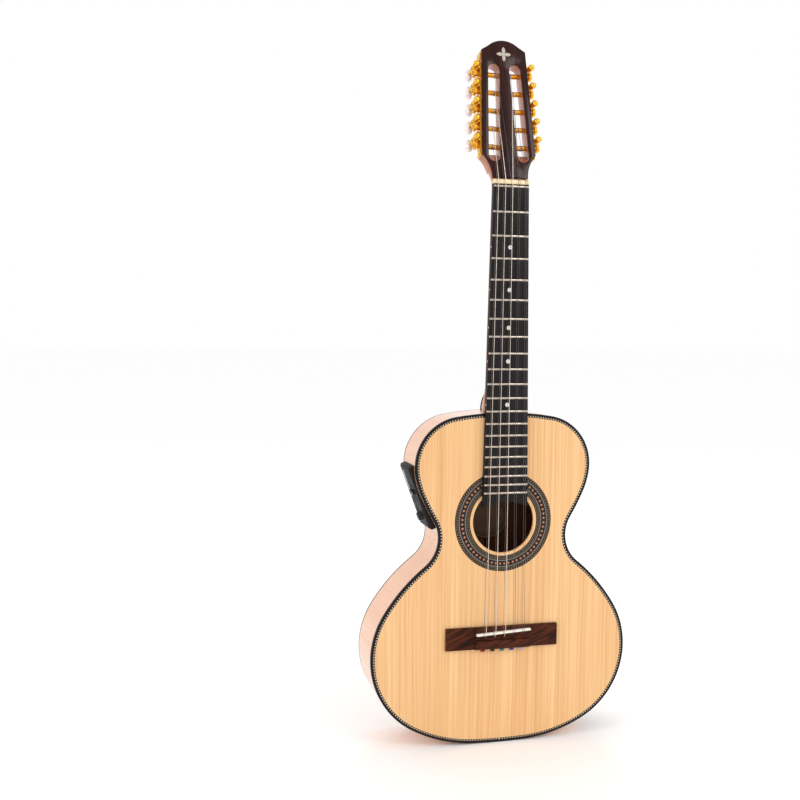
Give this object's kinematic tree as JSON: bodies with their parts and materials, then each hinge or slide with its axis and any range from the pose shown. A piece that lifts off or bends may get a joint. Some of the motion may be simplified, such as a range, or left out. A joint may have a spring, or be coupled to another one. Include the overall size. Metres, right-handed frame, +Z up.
{
  "type": "viola caipira",
  "caption": "Small-bodied acoustic-electric folk guitar with paired steel strings, slotted head with geared tuners, and a side preamp.",
  "frame": {"origin": "centre of the bounding box's footprint, at the tail's lowest point", "axes": "+Z up the neck from tail to head, -Y out of the soundboard towards the player's audience, +X towards the treble side"},
  "size_m": [0.355, 0.0978, 0.9293],
  "materials": {
    "spruce_top": "clear gloss lacquer over straight-grained spruce",
    "maple_back": "clear gloss lacquer over honey maple",
    "maple_ribs": "clear gloss lacquer over pale pinkish maple",
    "dark_binding": "polished dark wood",
    "rope_purfling": "black and cream rope marquetry",
    "rosette_mosaic": "black, brown and cream mosaic rings under lacquer",
    "spruce_inside": "bare planed spruce",
    "cedar_inside": "bare cedar",
    "rosewood_bridge": "oiled dark rosewood",
    "bone": "polished white bone",
    "nut_bone": "polished cream bone",
    "ball_end_colours": "lacquered brass, one colour for each course",
    "bronze_wound": "bronze winding",
    "plain_steel": "bare steel wire",
    "cedar_neck": "gloss lacquer over red-brown cedar",
    "ebony": "oiled ebony",
    "fret_wire": "polished nickel silver",
    "pearl": "mother of pearl",
    "rosewood_veneer": "gloss lacquer over very dark rosewood",
    "rod_steel": "plain steel",
    "cover_wood": "polished dark wood",
    "gold_plate": "polished gold plate",
    "gold_screw": "polished gold plate",
    "gold_gear": "polished gold plate",
    "tuner_knob": "white pearloid with gold-plated shaft",
    "black_panel": "satin black moulding",
    "black_knob": "satin black moulding",
    "display_window": "grey liquid-crystal window",
    "jack_metal": "nickel-plated brass",
    "battery_case": "plain painted can"
  },
  "bodies": {
    "guitar": {"soundboard": "spruce_top", "back_bass": "maple_back", "back_treble": "maple_back", "back_strip": "dark_binding", "rib_bass": "maple_ribs", "rib_treble": "maple_ribs", "top_binding": "dark_binding", "top_purfling": "rope_purfling", "back_binding": "dark_binding", "rosette": "rosette_mosaic", "braces": "spruce_inside", "linings": "cedar_inside", "end_blocks": "cedar_inside", "bridge": "rosewood_bridge", "saddle": "bone", "ball_ends": "ball_end_colours", "strings_wound": "bronze_wound", "strings_plain": "plain_steel", "nut": "nut_bone", "neck": "cedar_neck", "head": "cedar_neck", "heel_cap": "dark_binding", "fingerboard": "ebony", "frets": "fret_wire", "inlays": "pearl", "head_veneer": "rosewood_veneer", "truss_rod": "rod_steel", "truss_rod_cover": "cover_wood", "tuner_plate_bass": "gold_plate", "tuner_plate_treble": "gold_plate", "screws": "gold_screw", "preamp_panel": "black_panel", "preamp_display": "display_window", "jack_plate": "black_panel", "jack_socket": "jack_metal", "battery": "battery_case"},
    "worm_bass_1": {"worm_bass_1": "tuner_knob"},
    "roller_bass_1": {"roller_bass_1": "gold_gear"},
    "worm_bass_2": {"worm_bass_2": "tuner_knob"},
    "roller_bass_2": {"roller_bass_2": "gold_gear"},
    "worm_bass_3": {"worm_bass_3": "tuner_knob"},
    "roller_bass_3": {"roller_bass_3": "gold_gear"},
    "worm_bass_4": {"worm_bass_4": "tuner_knob"},
    "roller_bass_4": {"roller_bass_4": "gold_gear"},
    "worm_bass_5": {"worm_bass_5": "tuner_knob"},
    "roller_bass_5": {"roller_bass_5": "gold_gear"},
    "worm_treble_1": {"worm_treble_1": "tuner_knob"},
    "roller_treble_1": {"roller_treble_1": "gold_gear"},
    "worm_treble_2": {"worm_treble_2": "tuner_knob"},
    "roller_treble_2": {"roller_treble_2": "gold_gear"},
    "worm_treble_3": {"worm_treble_3": "tuner_knob"},
    "roller_treble_3": {"roller_treble_3": "gold_gear"},
    "worm_treble_4": {"worm_treble_4": "tuner_knob"},
    "roller_treble_4": {"roller_treble_4": "gold_gear"},
    "worm_treble_5": {"worm_treble_5": "tuner_knob"},
    "roller_treble_5": {"roller_treble_5": "gold_gear"},
    "preamp_knob": {"preamp_knob": "black_knob"},
    "preamp_slider_1": {"preamp_slider_1": "black_knob"},
    "preamp_slider_2": {"preamp_slider_2": "black_knob"},
    "preamp_slider_3": {"preamp_slider_3": "black_knob"},
    "battery_door": {"battery_door": "black_panel"}
  },
  "joints": [
    {"name": "worm_bass_1_turn", "type": "hinge", "parent": "guitar", "child": "worm_bass_1", "pos_m": [-0.04225, -0.01709, 0.79697], "axis": [0, 0.9781, -0.2079], "continuous": true},
    {"name": "roller_bass_1_turn", "type": "hinge", "parent": "guitar", "child": "roller_bass_1", "pos_m": [-0.04266, -0.01896, 0.78818], "axis": [-0.999, 0.0093, 0.0439], "continuous": true},
    {"name": "worm_bass_2_turn", "type": "hinge", "parent": "guitar", "child": "worm_bass_2", "pos_m": [-0.04114, -0.01196, 0.82111], "axis": [0, 0.9781, -0.2079], "continuous": true},
    {"name": "roller_bass_2_turn", "type": "hinge", "parent": "guitar", "child": "roller_bass_2", "pos_m": [-0.04155, -0.01383, 0.81231], "axis": [-0.999, 0.0093, 0.0439], "continuous": true},
    {"name": "worm_bass_3_turn", "type": "hinge", "parent": "guitar", "child": "worm_bass_3", "pos_m": [-0.04004, -0.00683, 0.84524], "axis": [0, 0.9781, -0.2079], "continuous": true},
    {"name": "roller_bass_3_turn", "type": "hinge", "parent": "guitar", "child": "roller_bass_3", "pos_m": [-0.04044, -0.0087, 0.83645], "axis": [-0.999, 0.0093, 0.0439], "continuous": true},
    {"name": "worm_bass_4_turn", "type": "hinge", "parent": "guitar", "child": "worm_bass_4", "pos_m": [-0.03893, -0.0017, 0.86938], "axis": [0, 0.9781, -0.2079], "continuous": true},
    {"name": "roller_bass_4_turn", "type": "hinge", "parent": "guitar", "child": "roller_bass_4", "pos_m": [-0.03933, -0.00357, 0.86058], "axis": [-0.999, 0.0093, 0.0439], "continuous": true},
    {"name": "worm_bass_5_turn", "type": "hinge", "parent": "guitar", "child": "worm_bass_5", "pos_m": [-0.03782, 0.00343, 0.89351], "axis": [0, 0.9781, -0.2079], "continuous": true},
    {"name": "roller_bass_5_turn", "type": "hinge", "parent": "guitar", "child": "roller_bass_5", "pos_m": [-0.03822, 0.00156, 0.88472], "axis": [-0.999, 0.0093, 0.0439], "continuous": true},
    {"name": "worm_treble_1_turn", "type": "hinge", "parent": "guitar", "child": "worm_treble_1", "pos_m": [0.04225, -0.01709, 0.79697], "axis": [0, 0.9781, -0.2079], "continuous": true},
    {"name": "roller_treble_1_turn", "type": "hinge", "parent": "guitar", "child": "roller_treble_1", "pos_m": [0.04266, -0.01896, 0.78818], "axis": [0.999, 0.0093, 0.0439], "continuous": true},
    {"name": "worm_treble_2_turn", "type": "hinge", "parent": "guitar", "child": "worm_treble_2", "pos_m": [0.04114, -0.01196, 0.82111], "axis": [0, 0.9781, -0.2079], "continuous": true},
    {"name": "roller_treble_2_turn", "type": "hinge", "parent": "guitar", "child": "roller_treble_2", "pos_m": [0.04155, -0.01383, 0.81231], "axis": [0.999, 0.0093, 0.0439], "continuous": true},
    {"name": "worm_treble_3_turn", "type": "hinge", "parent": "guitar", "child": "worm_treble_3", "pos_m": [0.04004, -0.00683, 0.84524], "axis": [0, 0.9781, -0.2079], "continuous": true},
    {"name": "roller_treble_3_turn", "type": "hinge", "parent": "guitar", "child": "roller_treble_3", "pos_m": [0.04044, -0.0087, 0.83645], "axis": [0.999, 0.0093, 0.0439], "continuous": true},
    {"name": "worm_treble_4_turn", "type": "hinge", "parent": "guitar", "child": "worm_treble_4", "pos_m": [0.03893, -0.0017, 0.86938], "axis": [0, 0.9781, -0.2079], "continuous": true},
    {"name": "roller_treble_4_turn", "type": "hinge", "parent": "guitar", "child": "roller_treble_4", "pos_m": [0.03933, -0.00357, 0.86058], "axis": [0.999, 0.0093, 0.0439], "continuous": true},
    {"name": "worm_treble_5_turn", "type": "hinge", "parent": "guitar", "child": "worm_treble_5", "pos_m": [0.03782, 0.00343, 0.89351], "axis": [0, 0.9781, -0.2079], "continuous": true},
    {"name": "roller_treble_5_turn", "type": "hinge", "parent": "guitar", "child": "roller_treble_5", "pos_m": [0.03822, 0.00156, 0.88472], "axis": [0.999, 0.0093, 0.0439], "continuous": true},
    {"name": "volume_turn", "type": "hinge", "parent": "guitar", "child": "preamp_knob", "pos_m": [-0.10459, -0.009, 0.30511], "axis": [-0.9367, 0, -0.3502], "range_deg": [-140, 140]},
    {"name": "tone_slider_1_slide", "type": "slide", "parent": "guitar", "child": "preamp_slider_1", "axis": [-0.3502, 0, 0.9367], "range_m": [-0.01, 0.01]},
    {"name": "tone_slider_2_slide", "type": "slide", "parent": "guitar", "child": "preamp_slider_2", "axis": [-0.3502, 0, 0.9367], "range_m": [-0.01, 0.01]},
    {"name": "tone_slider_3_slide", "type": "slide", "parent": "guitar", "child": "preamp_slider_3", "axis": [-0.3502, 0, 0.9367], "range_m": [-0.01, 0.01]},
    {"name": "battery_door_hinge", "type": "hinge", "parent": "guitar", "child": "battery_door", "pos_m": [0.12626, 0.005, 0.02469], "axis": [0, 1, 0], "range_deg": [0, 100]}
  ],
  "couplings": [
    {"joint": "roller_bass_1_turn", "follows": "worm_bass_1_turn", "ratio": -0.071429},
    {"joint": "roller_bass_2_turn", "follows": "worm_bass_2_turn", "ratio": -0.071429},
    {"joint": "roller_bass_3_turn", "follows": "worm_bass_3_turn", "ratio": -0.071429},
    {"joint": "roller_bass_4_turn", "follows": "worm_bass_4_turn", "ratio": -0.071429},
    {"joint": "roller_bass_5_turn", "follows": "worm_bass_5_turn", "ratio": -0.071429},
    {"joint": "roller_treble_1_turn", "follows": "worm_treble_1_turn", "ratio": 0.071429},
    {"joint": "roller_treble_2_turn", "follows": "worm_treble_2_turn", "ratio": 0.071429},
    {"joint": "roller_treble_3_turn", "follows": "worm_treble_3_turn", "ratio": 0.071429},
    {"joint": "roller_treble_4_turn", "follows": "worm_treble_4_turn", "ratio": 0.071429},
    {"joint": "roller_treble_5_turn", "follows": "worm_treble_5_turn", "ratio": 0.071429}
  ]
}
